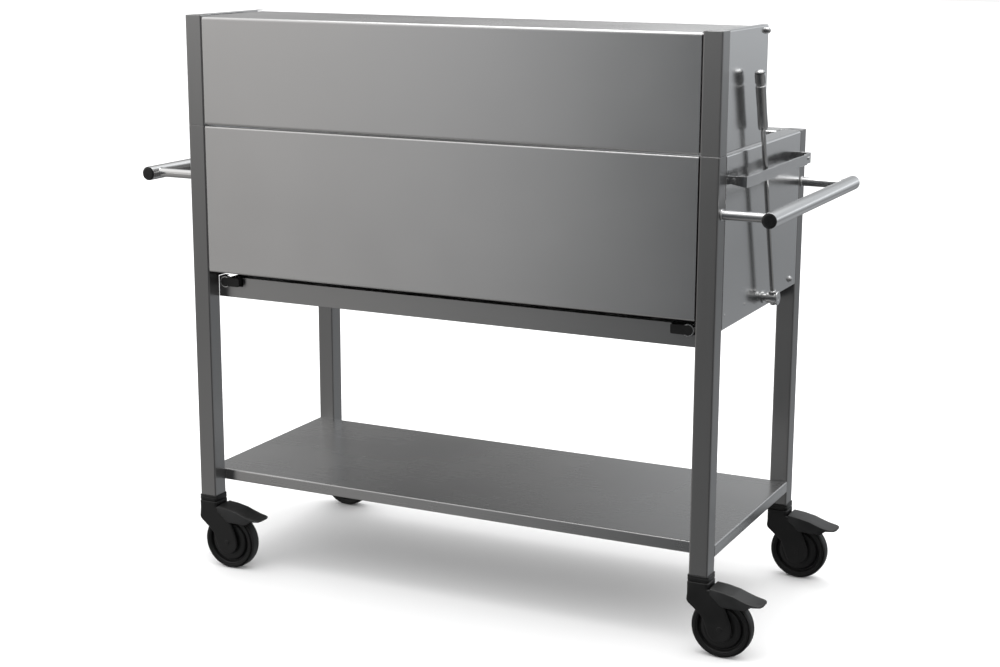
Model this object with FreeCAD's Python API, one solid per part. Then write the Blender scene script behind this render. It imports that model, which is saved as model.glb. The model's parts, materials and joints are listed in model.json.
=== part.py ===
"""Charcoal grill cart with a half-depth hood, a lever-lifted charcoal tray and four braked casters.

Frame: millimetres, +Z up, origin on the floor under the middle of the whole cart. +X is the end
with the lift lever, +Y is the cook's side and -Y is the tall closed back.
"""
import FreeCAD, Part
import math
import os

V = FreeCAD.Vector
X = V(1, 0, 0)
Y = V(0, 1, 0)
Z = V(0, 0, 1)
ENDS = {"left": -1, "right": 1}

# Whole cart
LENGTH = 1200.0
DEPTH = 550.0
TUBE = 40.0
TUBE_WALL = 2.0
TUBE_CORNER = 3.0
POST_BOTTOM = 166.0
RIM_Z = 993.0
HOOD_TOP = 1226.0
SHEET = 1.5
HALF_L = LENGTH / 2
HALF_D = DEPTH / 2
POST_X = HALF_L - TUBE / 2
POST_Y = HALF_D - TUBE / 2
INNER_X = HALF_L - TUBE
INNER_Y = HALF_D - TUBE

# Body panels and their rim flanges
PANEL_GAP = 2.0
PANEL_BOTTOM = 676.0
PANEL_FOLD = 4.0
PANEL_LIP = 13.0
PANEL_RETURN = 30.0
RIM_END_WIDTH = 45.0
RIM_LONG_WIDTH = 68.0
RIM_DROP = 37.0
END_PANEL_BOTTOM = 653.0
END_PANEL_STEP = 12.0
END_PANEL_STEP_Y = 105.0
END_PANEL_GAP = 1.0
CORNER_GAP = 0.5
OPEN_X = HALF_L - RIM_END_WIDTH
OPEN_Y = HALF_D - RIM_LONG_WIDTH
BUSH_WALL = 3.0
BUSH_LENGTH = 12.0
BUSH_FLANGE = 2.5
BUSH_FLANGE_WALL = 5.0
BOLT_ABOVE_SHAFT = 7.0
BOLT_Y = 191.5
BOLT_WASHER_R = 7.5
BOLT_WASHER = 1.2
BOLT_DOME_R = 6.5
BOLT_DOME_SINK = 0.5
RIVET_YS = [-220.6, -100.6]
RIVET_R = 2.6
RIVET_PROUD = 1.0

# Hood
HOOD_SEAM = 0.6
HOOD_BOTTOM = 995.0
HOOD_PLATE_Z = 1223.0
HOOD_FRONT_Y = -5.0
HOOD_HALF_L = 558.0
HOOD_FOLD = 6.0
HOOD_FRONT_LIP = 15.0
HOOD_LIP_Y = -263.0
CHEEK_FACE_X = 598.0
CHEEK_FRONT_Y = -3.0
CHEEK_FLANGE = 18.0
CHEEK_FOLD = 3.0
CHEEK_GAP = 0.5
SPIGOT_DEPTH = 60.0
SPIGOT_CLEARANCE = 0.3
SPIGOT_WELD = 10.0
TIE_Y = -17.0
TIE_Z = 1215.0
TIE_R = 4.0
TIE_PROUD = 5.5
NUT_R = 6.5
NUT_RING = 4.0

# Firebox
LEDGE_Z = 953.0
LEDGE_WIDTH = 18.0
LEDGE_THICK = 2.0
LEDGE_UPRIGHT = 0.5
LEDGE_TOP_GAP = 8.0
GRATE_GAP = 0.2
GRATE_COUNT = 3
GRATE_PITCH = 368.0
GRATE_WIDTH = 362.0
GRATE_DEPTH = 404.0
GRATE_ROD_R = 3.0
GRATE_CROSS_R = 4.0
GRATE_RODS = 20
GRATE_ROD_INSET = 8.0
GRATE_CROSS_YS = [-193.0, -60.0, 60.0, 193.0]
GRATE_WELD_SINK = 1.0
LINER_Y = 200.0
LINER_HALF_L = 540.0
LINER_BOTTOM = 711.0
TRAY_HALF_L = 535.0
TRAY_HALF_D = 185.0
TRAY_Z = 811.0
TRAY_HEIGHT = 72.0
TRAY_SHEET = 2.0
TRAY_SLOTS = 13
TRAY_SLOT_PITCH = 80.0
TRAY_SLOT_WIDTH = 10.0
TRAY_SLOT_LENGTH = 120.0
TRAY_SLOT_YS = [-90.0, 90.0]

# Lift lever, shaft and arms
SHAFT_Y = 18.0
SHAFT_Z = 675.0
SHAFT_R = 8.0
SHAFT_RUNNING = 0.05
SHAFT_INSET = 4.0
LEVER_LEAN = 16.0
LEVER_X = 620.0
ROD_R = 5.0
ROD_START = 9.0
HUB_BODY_R = 11.5
HUB_INNER = 12.0
HUB_OUTER = 8.0
HUB_SOCKET_START = 4.0
HUB_SOCKET_END = 26.0
HUB_SOCKET_R = 7.8
HUB_TAIL = 15.0
HUB_TAIL_R = 6.0
END_DISC_R = 14.0
END_DISC_THICK = 4.0
END_DISC_ROUND = 1.2
GRIP_START = 366.0
GRIP_LENGTH = 124.0
GRIP_R = 10.0
GRIP_BARREL_R = 9.5
GRIP_NECK_R = 6.5
GRIP_NECK = 8.0
GRIP_GROOVE_AT = 92.0
GRIP_GROOVE = 5.0
GRIP_GROOVE_R = 8.0
ARM_X = 568.0
ARM_THICK = 5.0
ARM_LENGTH = 70.0
ARM_RISE = 16.5
ARM_PIN_R = 4.0
ARM_PIN_LENGTH = 7.0
ARM_ROOT_R = 12.5
ARM_TIP_R = 8.5
BRACKET_X = 563.0
BRACKET_THICK = 3.0
BRACKET_BEHIND = 30.0
BRACKET_AHEAD = 20.0
BRACKET_EDGE = 6.0
SLOT_HALF_HEIGHT = 7.5
SLOT_BEHIND = 22.0
SLOT_AHEAD = 12.0

# Notched rack for the lever
RACK_Z0 = 930.0
RACK_Z1 = 951.5
RACK_NEAR_Y = -207.0
RACK_FAR_Y = 208.0
RACK_STEPS = [-138.0, -35.0, 66.0, 168.0]
RACK_SLOT_START = 7.0
RACK_SLOT_WIDTH = 6.0
RACK_SLOT_FOOT = 4.0
RACK_TAB_HEIGHT = 15.5
RACK_TAB_DROP = 0.5
RACK_START = 30.0
RACK_LOW = 28.5
RACK_HIGH = 33.0
RACK_THICK = 2.5
RACK_SCREW_X = 6.0
RACK_SCREW_Y = 195.0
RACK_SCREW_R = 3.6
RACK_SCREW_HEAD = 2.0

# Ash drawer and its runners
DRAWER_HALF_L = 535.0
DRAWER_BOTTOM = 623.0
DRAWER_TOP = 658.0
DRAWER_BACK_Y = -228.0
FRONT_HALF_L = 556.0
FRONT_Z0 = 617.0
FRONT_Z1 = 672.0
FRONT_WALL = 2.0
FRONT_CORNER = 3.0
PULL_HALF_L = 90.0
PULL_REACH = 11.0
PULL_THICK = 2.5
PULL_BELOW_TOP = 3.5
PULL_HOOK = 16.0
PULL_LIP = 2.0
RUNNER_X = 539.0
RUNNER_Z0 = 629.0
RUNNER_Z1 = 651.0
RUNNER_WALL = 2.0
RUNNER_PAST = 15.0
BEAM_Z0 = 616.0
BEAM_Z1 = 661.0
BEAM_FLANGE = 22.0
NOTCH_X0 = 498.0
NOTCH_X1 = 550.0
NOTCH_Z = 641.0
STOP_BLOCK_X = 500.0
STOP_RING_X = 536.0
STOP_RING_R = 12.5
STOP_DISC_R = 10.0
STOP_Z = 651.5
STOP_PROUD = 15.0
STOP_DISC_LENGTH = 13.0
STOP_RING_LENGTH = 10.0
STOP_BLOCK_LOW = 9.0
STOP_BLOCK_HIGH = 10.0
STOP_BLOCK_DEPTH = 20.0
STOP_BLOCK_LAP = 4.0
STOP_CORNER = 3.0

# Shelf
SHELF_TOP = 220.0
SHELF_LIP = 25.0
SHELF_FOLD = 3.0

# Handles
HANDLE_X = 703.0
HANDLE_Z = 883.0
HANDLE_R = 15.0
HANDLE_WALL = 2.0
HANDLE_HALF = 285.0
HANDLE_ARM_R = 9.5
CAP_PROUD = 2.5
CAP_PLUG = 12.0

# Casters
WHEEL_R = 62.5
WHEEL_WIDTH = 32.0
WHEEL_TRAIL = 48.0
TYRE_INNER_R = 52.0
WHEEL_RIM_R = 46.0
HUB_R = 15.0
HUB_WIDTH = 34.0
AXLE_R = 5.0
AXLE_RUNNING = 0.06
COLLAR = 45.0
COLLAR_Z = 154.0
COLLAR_ROUND = 6.0
STEM_R = 5.5
STEM_LENGTH = 11.0
STEM_PLUG = 30.0
FORK_TOP = 153.4
FORK_SKIRT = 108.0
FORK_WALL = 5.0
FORK_INNER = 18.0
FORK_CLEAR_R = 65.5
FORK_LEG = [(-21, 108), (-21, 135), (46, 135), (58, 123), (72, 68), (22, 62)]
FORK_LEG_R = 26.0
FORK_EAR_R = 7.0
HOUSING_R = 25.0
TYRE_ROUND = 6.0
RIM_INSET = 2.0
RIM_WEB = 6.0
PEDAL_PIVOT_X = 60.0
PEDAL_PIVOT_Z = 128.0
PEDAL_PIN_R = 3.0
PEDAL_PIN_PROUD = 3.6
PEDAL_HALF_WIDTH = 27.0
PEDAL_LUG_R = 7.5
PEDAL_LUG_GAP = 0.4
PEDAL_HOUSING_GAP = 1.5
PEDAL_TOP = [(27, 145), (50, 142.5), (75, 137.5), (90, 132), (105, 127.5), (120, 124.5), (131, 123.5)]
PEDAL_TIP = [(133, 120), (130, 117)]
PEDAL_UNDER = [(120, 117.5), (105, 121), (90, 127), (75, 133.3), (50, 138.5), (27, 140.5)]
PEDAL_WEB = [(48, 140.5), (74, 135.5), (67, 127), (53, 127)]
CORNERS = {"rear_left": (-1, -1), "rear_right": (1, -1), "front_left": (-1, 1), "front_right": (1, 1)}

# Reach of cutting shapes past the faces that they cut
PAST = 5.0


def box(x0, x1, y0, y1, z0, z1):
    """Box between two corners, given in any order."""
    low = V(min(x0, x1), min(y0, y1), min(z0, z1))
    return Part.makeBox(abs(x1 - x0), abs(y1 - y0), abs(z1 - z0), low)


def rod(start, end, radius):
    """Round bar between two points."""
    path = end - start
    return Part.makeCylinder(radius, path.Length, start, path)


def lengthwise_edges(shape, axis):
    """Straight edges of a shape that run along an axis."""
    found = []
    for edge in shape.Edges:
        run = edge.Vertexes[-1].Point - edge.Vertexes[0].Point
        if run.Length > 1e-6 and abs(abs(run.normalize().dot(axis)) - 1) < 1e-6:
            found.append(edge)
    return found


def rounded_box(low, high, axis, radius):
    """Box whose edges along one axis are rounded."""
    block = box(low[0], high[0], low[1], high[1], low[2], high[2])
    return block.makeFillet(radius, lengthwise_edges(block, axis))


def folded_sheet(low, high, axis, thick, radius, openings):
    """Sheet folded round a rectangle, less the boxes where the section is left open."""
    outer = rounded_box(low, high, axis, radius)
    past = axis * 1.0
    inset = (V(1, 1, 1) - axis) * thick
    inner = rounded_box(V(*low) + inset - past, V(*high) - inset + past, axis, radius - thick)
    sheet = outer.cut(inner)
    for opening in openings:
        sheet = sheet.cut(opening)
    return sheet.removeSplitter()


def shaft_point(x):
    """Point on the lift shaft's axis."""
    return V(x, SHAFT_Y, SHAFT_Z)


def prism(points, direction):
    """Flat outline swept in a straight line."""
    outline = Part.makePolygon(points + [points[0]])
    return Part.Face(outline).extrude(direction)


def mirror_x(shape):
    """The same piece on the opposite end."""
    return shape.mirror(V(0, 0, 0), X)


def group(shapes):
    """Separate solids that share one node."""
    return Part.makeCompound(shapes)


def save(name, shape):
    """Write one node."""
    shape.exportStep("parts/" + name + ".step")


# Frame -------------------------------------------------------------------------------------------

def post(side_x, side_y, closed_top):
    """Square tube leg, closed by a welded lid on the cook's side."""
    cx = side_x * POST_X
    cy = side_y * POST_Y
    half = TUBE / 2
    bore = half - TUBE_WALL
    outer = rounded_box((cx - half, cy - half, POST_BOTTOM), (cx + half, cy + half, RIM_Z), Z, TUBE_CORNER)
    top = RIM_Z - TUBE_WALL if closed_top else RIM_Z + PAST
    return outer.cut(box(cx - bore, cx + bore, cy - bore, cy + bore, POST_BOTTOM - PAST, top))


def make_frame():
    for name, side in ENDS.items():
        save("post_rear_" + name, post(side, -1, False))
        save("post_front_" + name, post(side, 1, True))

    beam = box(-INNER_X, INNER_X, -INNER_Y - 1, -INNER_Y + BEAM_FLANGE, BEAM_Z0, BEAM_Z1)
    beam = beam.cut(box(-HALF_L, HALF_L, -INNER_Y + 1, 0, BEAM_Z0 + SHEET, BEAM_Z1 - SHEET))
    for side in ENDS.values():
        beam = beam.cut(box(side * NOTCH_X0, side * NOTCH_X1, -HALF_D, 0, NOTCH_Z, BEAM_Z1 + PAST))
    save("rear_beam", beam)

    low = (-HALF_L, -INNER_Y, SHELF_TOP - SHELF_LIP)
    high = (HALF_L, INNER_Y, SHELF_TOP)
    shelf = rounded_box(low, high, X, SHELF_FOLD).common(rounded_box(low, high, Y, SHELF_FOLD))
    under = box(-HALF_L + SHEET, HALF_L - SHEET, -INNER_Y + SHEET, INNER_Y - SHEET, 0, SHELF_TOP - SHEET)
    save("shelf", shelf.cut(under))


# Body panels -------------------------------------------------------------------------------------

def end_returns(half, side, bottom, top):
    """Inward folds that close a long panel's two ends."""
    returns = []
    for end in ENDS.values():
        returns.append(box(end * half, end * (half - SHEET), side * (HALF_D - 1),
                           side * (HALF_D - PANEL_RETURN), bottom + PANEL_FOLD, top - PANEL_FOLD))
    return returns


def long_panel(side):
    """Back or front panel: outer skin, bottom lip, rim flange and the flange's drop."""
    half = INNER_X - PANEL_GAP
    low = (-half, min(side * HALF_D, side * OPEN_Y), PANEL_BOTTOM)
    high = (half, max(side * HALF_D, side * OPEN_Y), RIM_Z)
    inside = box(-HALF_L, HALF_L, side * (HALF_D - PANEL_LIP), side * (OPEN_Y - PAST), 0, RIM_Z - RIM_DROP)
    corners = []
    for end in ENDS.values():
        corners.append(box(end * (OPEN_X - CORNER_GAP), end * HALF_L, side * (INNER_Y + CORNER_GAP), 0,
                           0, RIM_Z + PAST))
    panel = folded_sheet(low, high, X, SHEET, PANEL_FOLD, [inside] + corners)
    return panel.fuse(end_returns(half, side, PANEL_BOTTOM, RIM_Z)).removeSplitter()


def end_panel():
    """Lever-end panel: outer skin with a stepped lower edge, bottom lip and rim flange."""
    half = INNER_Y - END_PANEL_GAP
    low = (OPEN_X, -half, END_PANEL_BOTTOM)
    high = (HALF_L, half, RIM_Z)
    inside = box(OPEN_X - PAST, HALF_L - PANEL_LIP, -HALF_D, HALF_D, 0, RIM_Z - RIM_DROP)
    step = box(0, HALF_L + PAST, END_PANEL_STEP_Y, HALF_D, 0, END_PANEL_BOTTOM + END_PANEL_STEP)
    panel = folded_sheet(low, high, Y, SHEET, PANEL_FOLD, [inside, step])
    return panel.cut(rod(shaft_point(OPEN_X), shaft_point(HALF_L + PAST), SHAFT_R + BUSH_WALL))


def make_panels():
    save("rear_panel", long_panel(-1))
    save("front_panel", long_panel(1))
    right = end_panel()
    save("end_panel_right", right)
    save("end_panel_left", mirror_x(right))

    bushes = []
    bolts = []
    for side in ENDS.values():
        face = side * HALF_L
        inner = shaft_point(face - side * BUSH_LENGTH)
        outer = shaft_point(face + side * BUSH_FLANGE)
        sleeve = rod(inner, shaft_point(face), SHAFT_R + BUSH_WALL)
        flange = rod(shaft_point(face), outer, SHAFT_R + BUSH_FLANGE_WALL)
        hole = rod(inner - X * side, outer + X * side, SHAFT_R + SHAFT_RUNNING)
        bushes.append(sleeve.fuse(flange).cut(hole).removeSplitter())

        out = X * side
        seat = V(face, BOLT_Y, SHAFT_Z + BOLT_ABOVE_SHAFT)
        washer = rod(seat, seat + out * BOLT_WASHER, BOLT_WASHER_R)
        dome = Part.makeSphere(BOLT_DOME_R, seat + out * BOLT_DOME_SINK)
        dome = dome.common(rod(seat + out * RIVET_PROUD, seat + out * 2 * BOLT_DOME_R, BOLT_DOME_R))
        bolts.append(washer.fuse(dome).removeSplitter())
        for rivet_y in RIVET_YS:
            rivet = V(face, rivet_y, SHAFT_Z + BOLT_ABOVE_SHAFT)
            bolts.append(rod(rivet, rivet + out * RIVET_PROUD, RIVET_R))
    save("shaft_bushes", group(bushes))
    save("panel_bolts", group(bolts))


# Hood --------------------------------------------------------------------------------------------

def hood_post(side):
    """Upper length of a rear post, with the spigot that plugs into the leg below."""
    cx = side * POST_X
    cy = -POST_Y
    half = TUBE / 2
    bore = half - TUBE_WALL
    bottom = RIM_Z + HOOD_SEAM
    tube = rounded_box((cx - half, cy - half, bottom), (cx + half, cy + half, HOOD_TOP), Z, TUBE_CORNER)
    tube = tube.cut(box(cx - bore, cx + bore, cy - bore, cy + bore, bottom - PAST, HOOD_TOP - TUBE_WALL))
    plug = bore - SPIGOT_CLEARANCE
    spigot = box(cx - plug, cx + plug, cy - plug, cy + plug, RIM_Z - SPIGOT_DEPTH, bottom + SPIGOT_WELD)
    weld = box(cx - bore, cx + bore, cy - bore, cy + bore, bottom, bottom + SPIGOT_WELD)
    return tube.fuse([spigot, weld]).removeSplitter()


def tie_point(x):
    """Point on the hood tie rod's axis."""
    return V(x, TIE_Y, TIE_Z)


def cheek():
    """Hood end plate with its inward top flange."""
    low = (CHEEK_FACE_X - CHEEK_FLANGE, -INNER_Y + 2 * CHEEK_GAP, HOOD_BOTTOM + CHEEK_GAP)
    high = (CHEEK_FACE_X, CHEEK_FRONT_Y, HOOD_TOP)
    inside = box(0, CHEEK_FACE_X - SHEET, -HALF_D, HALF_D, 0, HOOD_TOP - SHEET)
    plate = folded_sheet(low, high, Y, SHEET, CHEEK_FOLD, [inside])
    return plate.cut(rod(tie_point(OPEN_X), tie_point(HALF_L + PAST), TIE_R + CHEEK_GAP / 2))


def hood_shell():
    """Back and top of the hood in one folded sheet, with a level wing towards each cheek."""
    inside = box(-HALF_L, HALF_L, HOOD_LIP_Y, 0, 0, HOOD_PLATE_Z - HOOD_FRONT_LIP)
    shell = folded_sheet((-HOOD_HALF_L, -HALF_D, HOOD_BOTTOM), (HOOD_HALF_L, HOOD_FRONT_Y, HOOD_PLATE_Z),
                         X, SHEET, HOOD_FOLD, [inside])
    wing_end = CHEEK_FACE_X - CHEEK_FLANGE - CHEEK_GAP
    for side in ENDS.values():
        wing = box(side * HOOD_HALF_L, side * wing_end, -INNER_Y + 2, HOOD_FRONT_Y - HOOD_FOLD,
                   HOOD_PLATE_Z - SHEET, HOOD_PLATE_Z)
        shell = shell.fuse(wing)
    return shell.fuse(end_returns(HOOD_HALF_L, -1, HOOD_BOTTOM, HOOD_PLATE_Z)).removeSplitter()


def make_hood():
    save("hood_shell", hood_shell())
    right = cheek()
    save("hood_cheek_right", right)
    save("hood_cheek_left", mirror_x(right))
    save("hood_posts", group([hood_post(-1), hood_post(1)]))

    reach = CHEEK_FACE_X + TIE_PROUD
    save("hood_tie_rod", rod(tie_point(-reach), tie_point(reach), TIE_R))
    nuts = []
    for side in ENDS.values():
        out = X * side
        face = tie_point(side * CHEEK_FACE_X)
        dome = Part.makeSphere(NUT_R - 1, face + out * NUT_RING)
        nut = rod(face, face + out * NUT_RING, NUT_R).fuse(dome)
        nut = nut.cut(rod(face - out, face + out * TIE_PROUD, TIE_R))
        nuts.append(nut.cut(rod(face, face - out * 2 * NUT_RING, 2 * NUT_R)).removeSplitter())
    save("hood_dome_nuts", group(nuts))


# Firebox -----------------------------------------------------------------------------------------

def grate(cx):
    """Welded rod grate: close rods front to back on four cross rods."""
    cross_z = LEDGE_Z + GRATE_GAP + GRATE_CROSS_R
    rod_z = cross_z + GRATE_CROSS_R + GRATE_ROD_R - GRATE_WELD_SINK
    half_w = GRATE_WIDTH / 2
    half_d = GRATE_DEPTH / 2
    bars = []
    for y in GRATE_CROSS_YS:
        bars.append(rod(V(cx - half_w, y, cross_z), V(cx + half_w, y, cross_z), GRATE_CROSS_R))
    pitch = (GRATE_WIDTH - 2 * GRATE_ROD_INSET) / (GRATE_RODS - 1)
    for index in range(GRATE_RODS):
        x = cx - half_w + GRATE_ROD_INSET + index * pitch
        bars.append(rod(V(x, -half_d, rod_z), V(x, half_d, rod_z), GRATE_ROD_R))
    return bars[0].fuse(bars[1:])


def charcoal_tray():
    """Open tray with air slots and, at each end, a hanging bracket with a level slot for the arm's pin."""
    top = TRAY_Z + TRAY_HEIGHT
    tray = box(-TRAY_HALF_L, TRAY_HALF_L, -TRAY_HALF_D, TRAY_HALF_D, TRAY_Z, top)
    inner_l = TRAY_HALF_L - TRAY_SHEET
    inner_d = TRAY_HALF_D - TRAY_SHEET
    tray = tray.cut(box(-inner_l, inner_l, -inner_d, inner_d, TRAY_Z + TRAY_SHEET, top + 1))
    for index in range(TRAY_SLOTS):
        x = (index - (TRAY_SLOTS - 1) / 2) * TRAY_SLOT_PITCH
        for y in TRAY_SLOT_YS:
            tray = tray.cut(box(x - TRAY_SLOT_WIDTH / 2, x + TRAY_SLOT_WIDTH / 2, y - TRAY_SLOT_LENGTH / 2,
                                y + TRAY_SLOT_LENGTH / 2, TRAY_Z - PAST, TRAY_Z + PAST))
    pin_y = SHAFT_Y + ARM_LENGTH * math.cos(math.radians(ARM_RISE))
    pin_z = SHAFT_Z + ARM_LENGTH * math.sin(math.radians(ARM_RISE))
    ledge_z = top - BRACKET_EDGE
    near_y = pin_y - BRACKET_BEHIND
    far_y = pin_y + BRACKET_AHEAD
    for side in ENDS.values():
        far = side * (BRACKET_X + BRACKET_THICK)
        ledge = box(side * TRAY_HALF_L, far, near_y, far_y, ledge_z, ledge_z + BRACKET_THICK)
        hanger = box(side * BRACKET_X, far, near_y, far_y, pin_z - SLOT_HALF_HEIGHT - BRACKET_EDGE,
                     ledge_z + BRACKET_THICK)
        slot = box(side * (BRACKET_X - 1), far + side, pin_y - SLOT_BEHIND, pin_y + SLOT_AHEAD,
                   pin_z - SLOT_HALF_HEIGHT, pin_z + SLOT_HALF_HEIGHT)
        tray = tray.fuse([ledge, hanger]).cut(slot)
    return tray.removeSplitter()


def make_firebox():
    ledges = []
    liners = []
    for side in (-1, 1):
        wall = side * (OPEN_Y - LEDGE_UPRIGHT)
        under = LEDGE_Z - LEDGE_THICK
        level = box(-LINER_HALF_L, LINER_HALF_L, wall, wall - side * LEDGE_WIDTH, under, LEDGE_Z)
        upright = box(-LINER_HALF_L, LINER_HALF_L, wall, wall + side * LEDGE_UPRIGHT,
                      under, RIM_Z - LEDGE_TOP_GAP)
        ledges.append(level.fuse(upright).removeSplitter())
        liners.append(box(-LINER_HALF_L, LINER_HALF_L, side * LINER_Y, side * (LINER_Y + SHEET),
                          LINER_BOTTOM, under))
    save("grate_ledges", group(ledges))
    save("firebox_liners", group(liners))
    for index in range(GRATE_COUNT):
        save("grate_" + str(index + 1), grate((index - 1) * GRATE_PITCH))
    save("charcoal_tray", charcoal_tray())


# Lever and lift shaft ----------------------------------------------------------------------------

def lever_point(distance, x=LEVER_X):
    """Point on the lever's centre line, at a distance from the shaft's axis."""
    lean = math.radians(LEVER_LEAN)
    return V(x, SHAFT_Y - distance * math.sin(lean), SHAFT_Z + distance * math.cos(lean))


def lift_arm(side):
    """Arm welded on the shaft, with the pin that carries the tray's bracket."""
    rise = math.radians(ARM_RISE)
    along = V(0, math.cos(rise), math.sin(rise))
    across = V(0, -math.sin(rise), math.cos(rise))
    base = shaft_point(side * ARM_X)
    tip = base + along * ARM_LENGTH
    thick = X * side * ARM_THICK
    root = across * (ARM_ROOT_R - 0.5)
    end = across * (ARM_TIP_R - 0.5)
    web = prism([base + root, tip + end, tip - end, base - root], thick)
    pin = rod(tip - X * side * ARM_PIN_LENGTH, tip, ARM_PIN_R)
    return web.fuse([rod(base, base + thick, ARM_ROOT_R), rod(tip, tip + thick, ARM_TIP_R), pin])


def grip():
    """Turned handle with a ring groove and a domed end."""
    start = lever_point(GRIP_START)
    along = (lever_point(GRIP_START + 1) - start).normalize()
    barrel_length = GRIP_GROOVE_AT - GRIP_NECK
    head_at = GRIP_GROOVE_AT + GRIP_GROOVE
    neck = Part.makeCone(GRIP_NECK_R, GRIP_BARREL_R, GRIP_NECK, start, along)
    barrel = Part.makeCylinder(GRIP_BARREL_R, barrel_length, start + along * GRIP_NECK, along)
    groove = Part.makeCylinder(GRIP_GROOVE_R, GRIP_GROOVE, start + along * GRIP_GROOVE_AT, along)
    head = Part.makeCylinder(GRIP_R, GRIP_LENGTH - head_at - GRIP_R, start + along * head_at, along)
    dome = Part.makeSphere(GRIP_R, start + along * (GRIP_LENGTH - GRIP_R))
    return neck.fuse([barrel, groove, head, dome]).removeSplitter()


def make_lever():
    axis_in = shaft_point(LEVER_X - HUB_INNER)
    axis_out = shaft_point(LEVER_X + HUB_OUTER)
    shaft = rod(shaft_point(SHAFT_INSET - HALF_L), axis_out, SHAFT_R)
    save("lift_shaft", shaft.fuse([lift_arm(-1), lift_arm(1)]).removeSplitter())

    shaft_bore = rod(axis_in - X, axis_out + X, SHAFT_R)
    socket = rod(lever_point(HUB_SOCKET_START), lever_point(HUB_SOCKET_END), HUB_SOCKET_R)
    tail = rod(lever_point(0), lever_point(-HUB_TAIL), HUB_TAIL_R)
    hub = rod(axis_in, axis_out, HUB_BODY_R).fuse([socket, tail]).cut(shaft_bore)
    hub = hub.cut(rod(lever_point(ROD_START), lever_point(HUB_SOCKET_END + PAST), ROD_R))
    save("lever_hub", hub.removeSplitter())

    disc = rod(axis_out, axis_out + X * END_DISC_THICK, END_DISC_R)
    save("lever_end_disc", disc.makeFillet(END_DISC_ROUND, [edge for edge in disc.Edges if edge.Closed]))
    save("lever_rod", rod(lever_point(ROD_START), lever_point(GRIP_START), ROD_R).cut(shaft_bore))
    save("lever_grip", grip())


def make_rack():
    """Saw-tooth strip that the lever drops into, standing off the end panel on two tabs."""
    low = HALF_L + RACK_LOW
    high = HALF_L + RACK_HIGH
    start = HALF_L + RACK_START
    inner = [(start, RACK_NEAR_Y)]
    outer = [(start + RACK_THICK, RACK_NEAR_Y)]
    for step in RACK_STEPS:
        inner += [(high, step), (low, step)]
        outer += [(high + RACK_THICK, step + RACK_THICK), (low + RACK_THICK, step + RACK_THICK)]
    inner.append((low, RACK_FAR_Y))
    outer.append((low + RACK_THICK, RACK_FAR_Y))
    outline = [V(x, y, RACK_Z0) for x, y in inner + outer[::-1]]
    strip = prism(outline, Z * (RACK_Z1 - RACK_Z0))
    for step in RACK_STEPS:
        slot_y = step + RACK_SLOT_START
        strip = strip.cut(box(low - PAST, high + PAST, slot_y, slot_y + RACK_SLOT_WIDTH,
                              RACK_Z0 + RACK_SLOT_FOOT, RACK_Z1 + PAST))
    tab_top = RACK_Z1 - RACK_TAB_DROP
    tab_z = tab_top - RACK_TAB_HEIGHT
    tab = [(HALF_L, tab_z), (start + RACK_THICK, RACK_Z0), (start + RACK_THICK, RACK_Z1), (HALF_L, tab_top)]
    near = prism([V(x, RACK_NEAR_Y, z) for x, z in tab], -Y * RACK_THICK)
    far = box(HALF_L, low + RACK_THICK, RACK_FAR_Y, RACK_FAR_Y + RACK_THICK, RACK_Z0, RACK_Z1)
    save("lever_rack", strip.fuse([near, far]).removeSplitter())

    near_head = V(HALF_L + RACK_SCREW_X, RACK_NEAR_Y - RACK_THICK, (tab_z + tab_top) / 2)
    far_head = V(low + RACK_THICK, RACK_SCREW_Y, (RACK_Z0 + RACK_Z1) / 2)
    heads = []
    for head, out in ((near_head, -Y), (far_head, X)):
        heads.append(rod(head, head + out * RACK_SCREW_HEAD, RACK_SCREW_R))
    save("rack_screws", group(heads))


# Ash drawer --------------------------------------------------------------------------------------

def drawer_front():
    """Hollow front with a hooked pull along its top edge."""
    wall = FRONT_WALL
    front = rounded_box((-FRONT_HALF_L, INNER_Y, FRONT_Z0), (FRONT_HALF_L, HALF_D, FRONT_Z1), X, FRONT_CORNER)
    front = front.cut(box(wall - FRONT_HALF_L, FRONT_HALF_L - wall, INNER_Y + wall, HALF_D - wall,
                          FRONT_Z0 + wall, FRONT_Z1 - wall))
    reach = HALF_D + PULL_REACH
    pull_top = FRONT_Z1 - PULL_BELOW_TOP
    pull = box(-PULL_HALF_L, PULL_HALF_L, HALF_D - 1, reach, pull_top - PULL_THICK, pull_top)
    hook = box(-PULL_HALF_L, PULL_HALF_L, reach - PULL_LIP, reach, FRONT_Z1 - PULL_HOOK, pull_top)
    return front.fuse([pull, hook]).removeSplitter()


def drawer_runner(side):
    """Channel rail on the posts, cut back where it passes the front post."""
    web = INNER_X - RUNNER_WALL
    rail = box(side * RUNNER_X, side * INNER_X, -INNER_Y + 1, INNER_Y + RUNNER_PAST, RUNNER_Z0, RUNNER_Z1)
    channel = box(side * (RUNNER_X - 1), side * web, -INNER_Y, HALF_D, RUNNER_Z0 + RUNNER_WALL,
                  RUNNER_Z1 - RUNNER_WALL)
    front_pad = box(side * RUNNER_X, side * web, INNER_Y - 1, HALF_D, 0, RUNNER_Z1 + PAST)
    return rail.cut(channel).cut(front_pad)


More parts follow.
